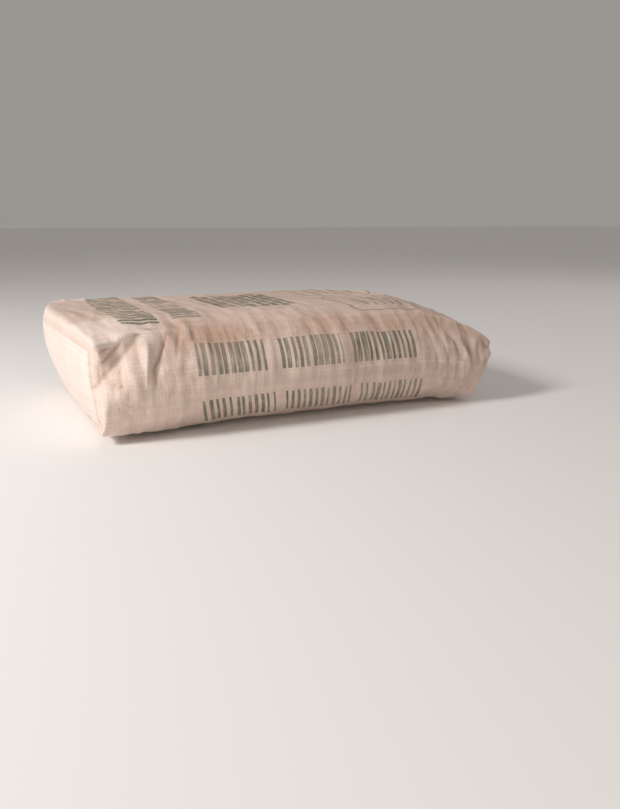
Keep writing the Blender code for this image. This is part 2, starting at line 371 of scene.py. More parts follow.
def sack_mesh():
    """Mesh of the sack in its filled form, with places on the flat cloth as the UV map 'cloth'.

    On the tube they are (along, round), and on an end (up, across) with an offset along.
    """
    tube = tube_points()
    points = list(tube.reshape(-1, 3))
    faces, places = [], []
    along = STATIONS * CLOTH_LENGTH / 2.0
    for station in range(CELLS_LONG):
        for ring in range(RING_CELLS):
            after = (ring + 1) % RING_CELLS
            left, right = station * RING_CELLS, (station + 1) * RING_CELLS
            faces.append((left + ring, right + ring, right + after, left + after))
            for ahead, turn in ((0, 0), (1, 0), (1, 1), (0, 1)):
                places.append((along[station + ahead], (ring + turn) * GIRTH_STEP))
    for end in (-1, 1):
        edge = 0 if end < 0 else CELLS_LONG * RING_CELLS
        numbers = np.empty((CELLS_WIDE + 1, CELLS_HIGH + 1), dtype=int)
        for row in range(CELLS_WIDE + 1):
            for column in range(CELLS_HIGH + 1):
                if 0 < row < CELLS_WIDE and 0 < column < CELLS_HIGH:
                    numbers[row, column] = len(points)
                    v, w = 2.0 * row / CELLS_WIDE - 1.0, 2.0 * column / CELLS_HIGH - 1.0
                    points.append(form_points(*np.array([[end], [v], [w]], dtype=float))[0])
                else:
                    numbers[row, column] = edge + ring_index(row, column)
        for row in range(CELLS_WIDE):
            for column in range(CELLS_HIGH):
                corners = [(row, column), (row, column + 1), (row + 1, column + 1), (row + 1, column)]
                if end > 0:
                    corners.reverse()
                faces.append([int(numbers[corner]) for corner in corners])
                for r, c in corners:
                    up = (c / CELLS_HIGH - 0.5) * BLOCK_HEIGHT
                    across = (r / CELLS_WIDE - 0.5) * BLOCK_WIDTH
                    places.append((end * (END_CLOTH_OFFSET + CLOTH_LENGTH / 2.0) + up, across))
    mesh = bpy.data.meshes.new("sack")
    mesh.from_pydata(np.array(points).tolist(), [], faces)
    layer = mesh.uv_layers.new(name="cloth")
    layer.uv.foreach_set("vector", np.array(places, dtype=np.float32).ravel())
    return mesh


def read(items, name, width=1, kind=np.float32):
    """That value of all the items, in rows of that width."""
    values = np.empty(len(items) * width, dtype=kind)
    items.foreach_get(name, values)
    return values if width == 1 else values.reshape(-1, width)


def read_points(mesh):
    return read(mesh.vertices, "co", 3).astype(float)


def read_normals(mesh):
    return read(mesh.vertex_normals, "vector", 3).astype(float)


def read_edges(mesh):
    return read(mesh.edges, "vertices", 2, np.int32)


def write_points(mesh, points):
    mesh.vertices.foreach_set("co", points.astype(np.float32).ravel())
    mesh.update()


def cloth_places(mesh):
    """Each vertex's place on the flat cloth, and whether it is on the tube."""
    corners = read(mesh.loops, "vertex_index", 1, np.int32)
    flat = read(mesh.uv_layers["cloth"].uv, "vector", 2).astype(float)
    on_tube = np.abs(flat[:, 0]) < END_CLOTH_OFFSET
    places = np.empty((len(mesh.vertices), 2))
    places[corners[~on_tube]] = flat[~on_tube]
    places[corners[on_tube]] = flat[on_tube]
    tube = np.zeros(len(mesh.vertices), dtype=bool)
    tube[corners[on_tube]] = True
    return places, tube


def smoothed(values, edges, rounds, share=0.5):
    """Vertex values averaged with their neighbours' a number of times."""
    size = len(values)
    ends = np.concatenate([edges, edges[:, ::-1]])
    count = np.bincount(ends[:, 0], minlength=size)
    table = values.reshape(size, -1).copy()
    for _ in range(rounds):
        for column in table.T:
            mean = np.bincount(ends[:, 0], weights=column[ends[:, 1]], minlength=size) / count
            column += share * (mean - column)
    return table.reshape(values.shape)


def grain(field_form, places):
    """Smooth random field over the tube's cloth, sampled at places, with a spread of 1.

    Its form is its seed, the step of the grid that it is drawn on, and how far its lumps reach.
    """
    seed, step, reach_along, reach_round = field_form
    rows = int(CLOTH_LENGTH / step) + 1
    columns = int(TUBE_GIRTH / step)
    field = np.random.default_rng(seed).normal(size=(rows, columns))
    along = np.fft.fftfreq(rows, step)[:, None] * reach_along
    round_ = np.fft.fftfreq(columns, step)[None, :] * reach_round
    blurred = np.fft.ifft2(np.fft.fft2(field) * np.exp(-9.9 * (along ** 2 + round_ ** 2))).real
    blurred /= blurred.std()
    row = np.clip((places[:, 0] / CLOTH_LENGTH + 0.5) * (rows - 1), 0.0, rows - 1.001)
    column = places[:, 1] / TUBE_GIRTH * columns
    r, c = row.astype(int), np.floor(column).astype(int)
    rest_r, rest_c = row - r, column - c
    upper = blurred[r, c % columns] * (1 - rest_c) + blurred[r, (c + 1) % columns] * rest_c
    lower = blurred[r + 1, c % columns] * (1 - rest_c) + blurred[r + 1, (c + 1) % columns] * rest_c
    return upper * (1 - rest_r) + lower * rest_r


def apply_modifier(piece, modifier, name):
    """Gives the piece a mesh of that name with the modifier's result, and takes the modifier off."""
    graph = bpy.context.evaluated_depsgraph_get()
    mesh = bpy.data.meshes.new_from_object(piece.evaluated_get(graph), depsgraph=graph)
    mesh.name = name
    piece.modifiers.remove(modifier)
    piece.data = mesh


def weight_group(piece, name, weights):
    group = piece.vertex_groups.new(name=name)
    steps = np.round(np.clip(weights, 0.0, 1.0), 2)
    for step in np.unique(steps):
        group.add(np.nonzero(steps == step)[0].tolist(), float(step), "REPLACE")


def simulate_slack(piece):
    """Lets the slack of the cloth buckle into wrinkles, while the filling holds it to its form."""
    form = read_points(piece.data)
    places, on_tube = cloth_places(piece.data)
    seed = np.where(on_tube, grain(SLACK_FIELD, places), 0.0)
    scatter = np.random.default_rng(5).normal(0.0, 4.0, len(form))
    seed = seed + 0.3 * smoothed(scatter, read_edges(piece.data), 3)
    write_points(piece.data, form + read_normals(piece.data) * (seed * SEED_HEIGHT)[:, None])

    on_side = part_way(np.abs(form[:, 1]), SIDE_START_Y, SIDE_FADE)
    near_end = part_way(np.abs(form[:, 0]), 0.13, 0.13)
    photo_corner = (form[:, 0] < PHOTO_CORNER_X) & (form[:, 1] < -SIDE_START_Y)
    on_side_slack = on_side * (SIDE_SLACK + SIDE_END_SLACK * near_end)
    slack = np.where(on_tube, BROAD_SLACK + on_side_slack, END_SLACK)
    slack = np.where(photo_corner, PHOTO_CORNER_SLACK, slack)
    pressed = (form[:, 2] < 0.001) | (form[:, 2] > HEIGHT - 0.001)
    weight_group(piece, "taut", 1.0 - slack)
    weight_group(piece, "held", np.where(pressed, PRESSED_HOLD, FREE_HOLD))

    cloth = piece.modifiers.new("Cloth", "CLOTH")
    settings = cloth.settings
    settings.vertex_group_shrink = "taut"
    settings.shrink_min = -FULL_SLACK
    settings.shrink_max = 0.0
    settings.vertex_group_mass = "held"
    settings.pin_stiffness = 4.0
    settings.quality = 6
    settings.mass = 0.0005
    settings.bending_stiffness = 0.5
    for kind, stiffness in (("tension", 40.0), ("compression", 40.0), ("shear", 20.0)):
        setattr(settings, kind + "_stiffness", stiffness)
        setattr(settings, kind + "_damping", 5.0)
    settings.effector_weights.gravity = 0.0
    cloth.collision_settings.use_collision = False
    cloth.point_cache.frame_end = SIM_FRAMES
    for step in range(1, SIM_FRAMES + 1):
        bpy.context.scene.frame_set(step)
    apply_modifier(piece, cloth, "sack_wrinkled")
    bpy.context.scene.frame_set(1)


def subdivide(piece):
    modifier = piece.modifiers.new("Fine", "SUBSURF")
    modifier.levels = 1
    modifier.render_levels = 1
    modifier.uv_smooth = "NONE"
    apply_modifier(piece, modifier, piece.name)


def from_end_middle(places):
    """How far up or down an end's cloth its places are from its middle."""
    return np.abs(np.abs(places[:, 0]) - END_CLOTH_OFFSET - CLOTH_LENGTH / 2.0)


def border_gaps(places, on_tube):
    """Each vertex's distance over the cloth from the folded border of the nearer end."""
    up_gap = BLOCK_HEIGHT / 2.0 - from_end_middle(places)
    end_gap = np.minimum(up_gap, BLOCK_WIDTH / 2.0 - np.abs(places[:, 1]))
    return np.where(on_tube, CLOTH_LENGTH / 2.0 - np.abs(places[:, 0]), end_gap)


def soften_ends(piece):
    """Rounds the folded edges of the block ends, least at their corners."""
    points, edges = read_points(piece.data), read_edges(piece.data)
    gaps = border_gaps(*cloth_places(piece.data))
    to_side = np.abs(np.abs(points[:, 1]) - END_WIDTH / 2.0)
    high = part_way(np.abs(points[:, 2] - END_MIDDLE_Z), 0.03, 0.025)
    corner = np.exp(-((to_side / SHARP_REACH) ** 2)) * high
    share = 0.5 * np.exp(-((gaps / EDGE_REACH) ** 2)) * (1.0 - 0.9 * corner)
    write_points(piece.data, smoothed(points, edges, EDGE_ROUNDS, share))


def path_gaps(spots, path):
    """Spots' distance from a path, the side of it that they are on, and how far along it they are."""
    best = np.full(len(spots), np.inf)
    aside, share = np.zeros(len(spots)), np.zeros(len(spots))
    for number, (start, end) in enumerate(zip(path, path[1:])):
        run = np.subtract(end, start)
        place = np.clip((spots - start) @ run / (run @ run), 0.0, 1.0)
        gap = spots - start - place[:, None] * run
        away = np.hypot(gap[:, 0], gap[:, 1])
        closer = away < best
        best[closer] = away[closer]
        aside[closer] = (run[0] * gap[:, 1] - run[1] * gap[:, 0])[closer]
        share[closer] = (number + place[closer]) / (len(path) - 1)
    return best, aside, share


def crease_depths(spots, creases):
    """Depth at spots of sharp creases that fade out at both ends of their paths."""
    total = np.zeros(len(spots))
    for path, depth, left_width, right_width in creases:
        away, aside, share = path_gaps(spots, path)
        width = np.where(aside > 0.0, left_width, right_width)
        fade = np.clip(4.2 * share * (1.0 - share) + 0.15, 0.0, 1.0)
        total += depth * fade * np.exp(-away / width)
    return total


def hollow_depths(spots, root, tip, foot, depth):
    """Depth at spots of a corner's hollow: steep below the flap's edge, rising gently past the valley."""
    inward = -np.sign(tip[0])
    lines = []
    for start, end in ((root, tip), (root, foot)):
        run = np.subtract(end, start) / math.dist(start, end)
        gap = spots - start
        lines.append((inward * (run[0] * gap[:, 1] - run[1] * gap[:, 0]), gap @ run))
    below_flap = lines[0][0]
    above_valley, along = -lines[1][0], lines[1][1]
    share = np.clip(along / math.dist(root, foot), 0.0, 1.15)
    inside = np.clip(below_flap / np.maximum(below_flap + above_valley, 1e-5), 0.0, 1.0)
    inside = np.where(above_valley < 0.0, 1.0, np.where(below_flap < 0.0, 0.0, inside))
    steep = 1.0 - (1.0 - inside) ** 1.7
    past = np.clip(1.0 + above_valley / 0.026, 0.0, 1.0) ** 1.6
    return depth * np.minimum(1.25 * share, 1.0) ** 0.8 * steep * past * (along > 0.0)


def drawn_crease(draw, path, depth, crease_share, narrow, wide):
    """Crease of that depth, or otherwise a lower ridge, with widths between narrow and wide."""
    way = 1.0 if draw.random() < crease_share else -0.8
    left_width, right_width = draw.uniform(narrow, wide, 2)
    return path, depth * way, left_width, right_width


def random_creases(seed, count, half_length, low, high, crowd=0.6):
    """Short creases across a strip of cloth, more of them and deeper ones towards the ends."""
    draw = np.random.default_rng(seed)
    creases = []
    for _ in range(count):
        outward = 1.0 - crowd * draw.random() ** 1.3 if draw.random() < 0.75 else draw.random()
        start_x = half_length * outward * draw.choice((-1.0, 1.0))
        start_z = draw.uniform(low + 0.15 * (high - low), high)
        reach = draw.uniform(0.012, 0.045)
        lean = draw.normal(0.0, 0.16) + 0.2 * start_x / half_length
        bend = draw.normal(0.0, 0.12)
        middle = (start_x + reach * 0.5 * (lean + bend), start_z - reach * 0.5)
        end = (start_x + reach * lean, start_z - reach)
        size = draw.uniform(0.25, 1.0) * (0.14 + 0.86 * outward ** 3)
        path = ((start_x, start_z), middle, end)
        creases.append(drawn_crease(draw, path, 0.0019 * size, 0.6, 0.0018, 0.0052))
    return creases


def shoulder_creases(seed, count):
    """Short slanting creases along a long side's upper edge, where the weight of a load presses."""
    draw = np.random.default_rng(seed)
    creases = []
    for _ in range(count):
        start = (draw.uniform(-0.25, 0.24), draw.uniform(0.128, 0.148))
        reach = draw.uniform(0.01, 0.03)
        lean = draw.normal(0.15, 0.4)
        middle = (start[0] + reach * lean * 0.35, start[1] - reach * 0.5)
        last = (start[0] + reach * lean, start[1] - reach)
        depth = draw.uniform(0.0003, 0.0011)
        creases.append(drawn_crease(draw, (start, middle, last), depth, 0.6, 0.0018, 0.004))
    return creases


def face_creases(seed, count):
    """Creases of a broad face that run inwards from the ends, and fan out towards the corners."""
    draw = np.random.default_rng(seed)
    creases = []
    for _ in range(count):
        end = draw.choice((-1.0, 1.0))
        y = draw.uniform(-0.175, 0.175)
        start_x = 0.305 - 0.02 * (y / 0.175) ** 2 - draw.uniform(0.0, 0.06)
        reach = draw.uniform(0.015, 0.055)
        lean = draw.normal(0.0, 0.25) - 1.1 * y
        bend = draw.normal(0.0, 0.1)
        middle = (end * (start_x - reach / 2.0), y + reach / 2.0 * (lean + bend))
        last = (end * (start_x - reach), y + reach * lean)
        size = draw.uniform(0.2, 1.0) * (0.5 + 0.5 * abs(y) / 0.175)
        path = ((end * start_x, y), middle, last)
        creases.append(drawn_crease(draw, path, 0.0013 * size, 0.55, 0.0022, 0.006))
    return creases


def tuck_creases(end):
    """Lines of an end's tucked layers: from each corner inwards at 45 degrees."""
    creases = []
    for side in (-1, 1):
        top = HEIGHT - CORNER_DROPS[end, side]
        for z, way in ((END_LIFT + 0.002, 1.0), (top - 0.002, -1.0)):
            start = (side * (END_WIDTH / 2.0 - 0.002), z)
            last = (start[0] - side * 0.03, z + way * 0.03)
            creases.append(((start, last), 0.0009, 0.0026, 0.0012))
    return creases


def fold_cloth(piece):
    """Presses hollows and creases into the sack, and draws the crease of the lay-flat tube."""
    mesh = piece.data
    points, normals = read_points(mesh), read_normals(mesh)
    places, on_tube = cloth_places(mesh)
    across = part_way(np.abs(places[:, 1]) / (BLOCK_WIDTH / 2.0), 0.84, 0.16)
    for side, seed, creases in ((-1, 31, NEAR_CREASES), (1, 32, ())):
        spots = points[:, [0, 2]]
        facing = part_way(normals[:, 1] * side, 0.25, 0.35)
        facing = facing * facing * (3.0 - 2.0 * facing)
        sideness = np.where(on_tube, facing, across) * (np.sign(points[:, 1]) == side)
        for (end, hollow_side), (root, tip, foot, depth) in CORNER_HOLLOWS.items():
            if hollow_side == side:
                pressed = hollow_depths(spots, root, tip, foot, depth)
                pressed = pressed * sideness * (np.sign(points[:, 0]) == end)
                points[:, 1] -= side * pressed
        drawn = random_creases(seed, 90, 0.285, 0.012, 0.138) + shoulder_creases(seed + 20, 46)
        if side < 0:
            drawn = [crease for crease in drawn if crease[0][0][0] > DRAWN_CREASES_X]
        shaped = crease_depths(spots, list(creases) + drawn)
        facing_round = part_way(normals[:, 1] * side, 0.0, 0.25)
        shaped = shaped * np.where(on_tube, facing_round, across * 0.5) * (sideness > 0.0)
        points -= normals * shaped[:, None]

    broad = part_way(np.abs(normals[:, 2]), 0.25, 0.35) * on_tube
    for way, seed, count in ((1, 41, 64), (-1, 42, 24)):
        shaped = crease_depths(points[:, :2], face_creases(seed, count))
        shaped = shaped * broad * (np.sign(normals[:, 2]) == way)
        points -= normals * shaped[:, None]
    for end, creases in END_CREASES.items():
        shaped = crease_depths(points[:, 1:], list(creases) + tuck_creases(end))
        points -= normals * (shaped * (~on_tube & (np.sign(places[:, 0]) == end)))[:, None]

    low = np.minimum(places[:, 1], TUBE_GIRTH - places[:, 1])
    grown = np.clip((places[:, 0] + 0.02) / 0.1, 0.25, 1.0) * on_tube
    ridge = np.exp(-np.abs(low - BLOCK_WIDTH / 2.0 - BLOCK_HEIGHT / 2.0) / 0.0022) * grown
    points += normals * (ridge * LAY_FLAT_RIDGE)[:, None]
    for place, reach, pull in PLUCKS:
        near = np.exp(-((np.linalg.norm(points - place, axis=1) / reach) ** 2))
        points += near[:, None] * pull
    write_points(mesh, points)


def press_wrinkles(piece):
    """Wrinkles that run round the tube, soft dents, and crumples that are strongest near the ends."""
    mesh = piece.data
    points, normals = read_points(mesh), read_normals(mesh)
    places, on_tube = cloth_places(mesh)
    fine = grain(FINE_FIELD, places) * 0.8
    broad = grain(BROAD_FIELD, places) * 0.8
    patchy = np.clip(0.6 + 0.5 * grain(PATCHY_FIELD, places), 0.15, 1.5)
    on_side = 0.35 + 0.65 * part_way(np.abs(points[:, 1]), SIDE_START_Y, SIDE_FADE)
    near_end = part_way(np.abs(places[:, 0]), 0.17, 0.07)
    gathered = fine + broad * (0.55 + 0.45 * near_end)
    dents = grain(DENT_FIELD, places) + 0.6 * grain(SMALL_DENT_FIELD, places)
    crumples = 0.8 - np.abs(grain(CRUMPLE_FIELD, places))
    height = gathered * patchy * on_side * WRINKLE_HEIGHT
    height += dents * on_side * DENT_HEIGHT
    height += crumples * (0.15 + 0.85 * near_end) * CRUMPLE_HEIGHT
    height *= on_tube * np.clip(border_gaps(places, on_tube) / 0.012, 0.0, 1.0)
    points += normals * height[:, None]
    points[:, 2] = np.maximum(points[:, 2], FLOOR_GAP)
    write_points(mesh, points)


def mark_hollows(mesh):
    """Stores how hollow the surface is at each point, from 0 on a ridge to 1 in a crease."""
    points, normals, edges = read_points(mesh), read_normals(mesh), read_edges(mesh)
    depth = ((smoothed(points, edges, 8) - points) * normals).sum(axis=1)
    layer = mesh.attributes.new("hollow", "FLOAT", "POINT")
    layer.data.foreach_set("value", np.clip(0.5 + depth / HOLLOW_SPAN, 0.0, 1.0).astype(np.float32))


def add_object(name, data):
    added = bpy.data.objects.new(name, data)
    bpy.context.collection.objects.link(added)
    return added


def make_sack():
    sack = add_object("sack", sack_mesh())
    simulate_slack(sack)
    subdivide(sack)
    soften_ends(sack)
    fold_cloth(sack)
    press_wrinkles(sack)
    mark_hollows(sack.data)
    sack.data.shade_smooth()
    return sack


def make_patch(sack, end, name):
    """Cover patch that follows the sack's end face a little off it, as a thin closed sheet."""
    mesh = sack.data
    points, normals = read_points(mesh), read_normals(mesh)
    places, on_tube = cloth_places(mesh)
    inside = ~on_tube & (np.sign(places[:, 0]) == end) & (from_end_middle(places) < PATCH_HALF_HEIGHT)
    inside &= np.abs(places[:, 1]) < PATCH_HALF_WIDTH
    chosen = np.nonzero(inside)[0]
    count = len(chosen)
    numbers = dict(zip(chosen.tolist(), range(count)))
    whole = [face for face in mesh.polygons if all(v in numbers for v in face.vertices)]
    outer = [[numbers[v] for v in face.vertices] for face in whole]
    seen = {(a, b) for face in outer for a, b in zip(face, face[1:] + face[:1])}
    rim = sorted((a, b) for a, b in seen if (b, a) not in seen)
    reach = np.full((count, 1), PATCH_CLEARANCE + PATCH_THICKNESS)
    reach[[a for a, b in rim]] = PATCH_CLEARANCE + RIM_SHARE * PATCH_THICKNESS
    layers = [points[chosen] + normals[chosen] * reach, points[chosen] + normals[chosen] * PATCH_CLEARANCE]
    faces = outer + [[v + count for v in reversed(face)] for face in outer]
    faces += [[b, a, a + count, b + count] for a, b in rim]
    patch_mesh = bpy.data.meshes.new(name)
    patch_mesh.from_pydata(np.concatenate(layers).tolist(), [], faces)
    layer = patch_mesh.uv_layers.new(name="cloth")
    own = np.concatenate([places[chosen], places[chosen]])
    corners = read(patch_mesh.loops, "vertex_index", 1, np.int32)
    layer.uv.foreach_set("vector", own[corners].astype(np.float32).ravel())
    patch_mesh.shade_smooth()
    patch_mesh.set_sharp_from_angle(angle=math.radians(50.0))
    marks = read(mesh.attributes["hollow"].data, "value")
    own_marks = patch_mesh.attributes.new("hollow", "FLOAT", "POINT")
    own_marks.data.foreach_set("value", np.tile(marks[chosen], 2))
    return add_object(name, patch_mesh)


class Graph:
    """Short ways to make and link a material's nodes."""

    def __init__(self, name):
        self.material = bpy.data.materials.new(name)
        self.material.use_nodes = True
        self.tree = self.material.node_tree
        self.shader = self.tree.nodes["Principled BSDF"]

    def link(self, source, target):
        if isinstance(source, (int, float, tuple)):
            target.default_value = source
        else:
            self.tree.links.new(source, target)

    def node(self, kind, inputs=None, **settings):
        node = self.tree.nodes.new("ShaderNode" + kind)
        for name, value in settings.items():
            setattr(node, name, value)
        for name, value in (inputs or {}).items():
            self.link(value, node.inputs[name])
        return node

    def math(self, operation, *values):
        node = self.node("Math", operation=operation)
        for value, socket in zip(values, node.inputs):
            self.link(value, socket)
        return node.outputs[0]

    def times(self, result, *factors):
        for factor in factors:
            result = self.math("MULTIPLY", result, factor)
        return result

    def minus(self, first, second):
        return self.math("SUBTRACT", first, second)

    def size(self, value):
        return self.math("ABSOLUTE", value)

    def ramp(self, value, low, high, to_low=0.0, to_high=1.0):
        """Smooth step of a value from low to high, onto to_low to to_high."""
        node = self.node("MapRange", interpolation_type="SMOOTHSTEP")
        for source, socket in zip((value, low, high, to_low, to_high), node.inputs):
            self.link(source, socket)
        return node.outputs[0]

    def mix(self, factor, first, second, blend_type="MIX"):
        node = self.node("Mix", data_type="RGBA", blend_type=blend_type)
        self.link(factor, node.inputs[0])
        self.link(first, node.inputs[6])
        self.link(second, node.inputs[7])
        return node.outputs[2]

    def noise(self, vector, scale, detail=3.0, roughness=0.5):
        inputs = {"Vector": vector, "Scale": scale, "Detail": detail, "Roughness": roughness}
        return self.node("TexNoise", inputs).outputs["Fac"]

    def vector(self, x, y, z=0.0):
        node = self.node("CombineXYZ")
        for value, socket in zip((x, y, z), node.inputs):
            self.link(value, socket)
        return node.outputs[0]

    def stretched(self, places, along_scale, round_scale):
        """Places on the cloth, scaled apart along the tube and round it."""
        along, round_ = places
        along = self.times(along, along_scale)
        return self.vector(along, self.times(round_, round_scale))

    def band(self, value, low, high, soft=0.0006):
        """1 where a value lies between low and high, with soft edges."""
        rise = self.ramp(value, low - soft, low + soft)
        fall = self.ramp(value, high - soft, high + soft, 1.0, 0.0)
        return self.times(rise, fall)

    def highest(self, *values):
        result = values[0]
        for value in values[1:]:
            result = self.math("MAXIMUM", result, value)
        return result


def bars(graph, place, seed, filled, slimmer=0.0):
    """Upright bars of uneven width: 1 on a bar, at a place that runs along the row."""
    steps = graph.math("DIVIDE", place, BAR_PITCH)
    cell = graph.vector(graph.math("FLOOR", steps), seed)
    draw = graph.node("TexWhiteNoise", {"Vector": cell}, noise_dimensions="2D")
    parts = graph.node("SeparateColor", {"Color": draw.outputs["Color"]})
    on = graph.math("LESS_THAN", parts.outputs[0], filled)
    inner = graph.math("FRACT", steps)
    low = graph.math("MULTIPLY_ADD", parts.outputs[1], 0.26, 0.03)
    high = graph.math("MULTIPLY_ADD", parts.outputs[2], 0.34, 0.6 - slimmer)
    rise = graph.ramp(graph.minus(inner, low), -0.05, 0.05)
    fall = graph.ramp(graph.minus(inner, high), -0.05, 0.05, 1.0, 0.0)
    return graph.times(on, rise, fall)


def side_print(graph, along, low):
    """Two rows of bar groups on each long side, in the places of its lines of print."""
    masks = []
    for row_low, row_high, groups, slant, seed, slimmer in SIDE_ROWS:
        shifted = graph.minus(low, row_low)
        place = graph.math("ADD", along, graph.times(shifted, slant))
        groups = [graph.band(place, left, right) for left, right in groups]
        filled = bars(graph, place, seed, SIDE_FILLED, slimmer)
        masks.append(graph.times(graph.highest(*groups), graph.band(low, row_low, row_high), filled))
    return graph.highest(*masks)


def brick_panel(graph, along, across):
    """Panel of plain bricks in the middle of a broad face."""
    brick = graph.node("TexBrick", {"Vector": graph.vector(across, along), **BRICKS})
    length = graph.band(along, PANEL_LEFT, PANEL_RIGHT)
    return graph.times(length, graph.band(across, -PANEL_REACH, PANEL_REACH), brick.outputs["Color"])


def lined_box(graph, along, across, middle):
    """Outlined box with lines in it, with its middle that far across a broad face."""
    aside = graph.size(graph.minus(across, middle))
    forward = graph.size(graph.minus(along, BOX_ALONG))
    over_x = graph.math("MAXIMUM", graph.minus(forward, BOX_HALF_LENGTH), 0.0)
    over_y = graph.math("MAXIMUM", graph.minus(aside, BOX_HALF_WIDTH), 0.0)
    squares = graph.math("ADD", graph.math("POWER", over_x, 2.0), graph.math("POWER", over_y, 2.0))
    outline = graph.band(graph.math("SQRT", squares), OUTLINE_LOW, OUTLINE_HIGH)
    in_width = graph.math("LESS_THAN", aside, LINES_HALF_WIDTH)
    in_length = graph.math("LESS_THAN", forward, LINES_HALF_LENGTH)
    lines = graph.band(graph.math("FRACT", graph.math("DIVIDE", along, LINE_PITCH)), 0.35, 0.62, 0.03)
    return graph.highest(outline, graph.times(in_width, in_length, lines))


def face_print(graph, along, round_):
    """Generic print of the broad faces: bar rows, a brick panel and two outlined boxes."""
    turned = graph.math("MODULO", graph.math("ADD", round_, TUBE_GIRTH / 4.0), TUBE_GIRTH / 2.0)
    across = graph.minus(turned, TUBE_GIRTH / 4.0)
    masks = [brick_panel(graph, along, across)]
    for left, right, seed in FACE_ROWS:
        width = graph.band(across, -FACE_ROW_REACH, FACE_ROW_REACH)
        filled = bars(graph, across, seed, FACE_FILLED)
        masks.append(graph.times(graph.band(along, left, right), width, filled))
    masks += [lined_box(graph, along, across, middle) for middle in (-BOX_ASIDE, BOX_ASIDE)]
    return graph.highest(*masks)


def weave(graph, along, round_):
    """Height of plain-woven flat tapes, from 0 in the gaps to 1 on top, and each tape's own tone."""
    first = graph.math("DIVIDE", along, TAPE_WIDTH)
    second = graph.math("DIVIDE", round_, TAPE_WIDTH)
    humps = []
    for value in (first, second):
        centred = graph.math("MULTIPLY_ADD", graph.math("FRACT", value), 2.0, -1.0)
        humps.append(graph.minus(1.0, graph.math("POWER", graph.size(centred), 3.0)))
    cells = graph.math("ADD", graph.math("FLOOR", first), graph.math("FLOOR", second))
    over = graph.math("MODULO", graph.size(cells), 2.0)
    warp = graph.times(humps[1], graph.math("MULTIPLY_ADD", humps[0], 0.5, 0.5))
    weft = graph.times(humps[0], graph.math("MULTIPLY_ADD", humps[1], 0.5, 0.5))
    gap = graph.minus(warp, weft)
    height = graph.math("MULTIPLY_ADD", gap, over, weft)

    tones = []
    for value, shift in ((first, 0.0), (second, 4000.0)):
        cell = graph.math("ADD", graph.math("FLOOR", value), shift)
        tones.append(graph.node("TexWhiteNoise", {"W": cell}, noise_dimensions="1D").outputs["Value"])
    tone = graph.math("MULTIPLY_ADD", graph.minus(tones[1], tones[0]), over, tones[0])
    return height, tone


def tuck_height(graph, up, aside):
    """Height of the tucked layers on an end: a step along each line from a corner at 45 degrees."""
    below = graph.minus(BLOCK_HEIGHT / 2.0, up)
    beside = graph.minus(BLOCK_WIDTH / 2.0, aside)
    return graph.ramp(graph.minus(below, beside), -0.0004, 0.0004)


def plain_tone(graph, spot, places, on_end, base, aged, stained):
    """Cloth without print: its base tone, age, stains and streaks along the tapes."""
    colour = graph.mix(graph.ramp(graph.noise(spot, 5.0, 4.0), 0.35, 0.7), base, aged)
    colour = graph.mix(graph.times(on_end, 0.45), colour, END_CLOTH)
    stains = graph.ramp(graph.noise(spot, 11.0, 5.0, 0.6), 0.56, 0.74, 0.0, stained)
    colour = graph.mix(stains, colour, STAIN)
    streaks = graph.noise(graph.stretched(places, 520.0, 34.0), 1.0, 3.0)
    colour = graph.mix(graph.ramp(streaks, 0.42, 0.75, 0.0, 0.16), colour, LIGHT_STREAK)
    return graph.mix(graph.ramp(streaks, 0.25, 0.46, 0.12, 0.0), colour, DARK_STREAK)


def rim_painted_shade(graph, colour, up, aside, on_end):
    """Adds painted shade along the rim of an end's patch, on both sides of it."""
    past_up = graph.minus(up, PATCH_HALF_HEIGHT)
    past = graph.size(graph.math("MAXIMUM", past_up, graph.minus(aside, PATCH_HALF_WIDTH)))
    return graph.mix(graph.times(graph.ramp(past, 0.0, 0.004, 0.2, 0.0), on_end), colour, RIM_SHADE)


def tube_tones(graph, colour, spot, places, on_tube):
    """Adds the tube's painted light on its lower sides and left flaps, its dusty shoulders and faded green
    print.
    """
    along, round_ = places
    low = graph.math("MINIMUM", round_, graph.minus(TUBE_GIRTH, round_))
    # painted light: lighter towards the bottom of the sides, in place of light from below
    lower = graph.times(graph.ramp(low, LOWER_LIGHT_FULL, LOWER_LIGHT_NONE, 0.5, 0.0), on_tube)
    colour = graph.mix(lower, colour, LOWER_PAINTED_LIGHT)
    patchy = graph.ramp(graph.noise(spot, 9.0, 5.0, 0.65), 0.36, 0.66, 0.1, 0.7)
    shoulder = graph.band(low, SHOULDER_LOW, SHOULDER_HIGH, 0.016)
    dust = graph.times(shoulder, patchy, graph.ramp(along, DUST_NONE, DUST_FULL))
    colour = graph.mix(dust, colour, DUST)
    # painted light on the left flaps, standing in for light from above-left on that facet
    left = graph.ramp(along, FLAP_LIGHT_FULL, FLAP_LIGHT_END, 0.65, 0.0)
    flap = graph.times(graph.band(low, FLAP_LOW, FLAP_HIGH, 0.007), left, on_tube)
    colour = graph.mix(flap, colour, FLAP_PAINTED_LIGHT)

    ink = graph.highest(side_print(graph, along, low), face_print(graph, along, round_))
    worn = graph.ramp(graph.noise(graph.stretched(places, 620.0, 40.0), 1.0, 3.0, 0.6), 0.5, 0.66, 1.0, 0.45)
    faded = graph.ramp(graph.noise(spot, 12.0, 3.0), 0.35, 0.7, 0.95, 0.62)
    return graph.mix(graph.times(ink, on_tube, worn, faded), colour, INK)


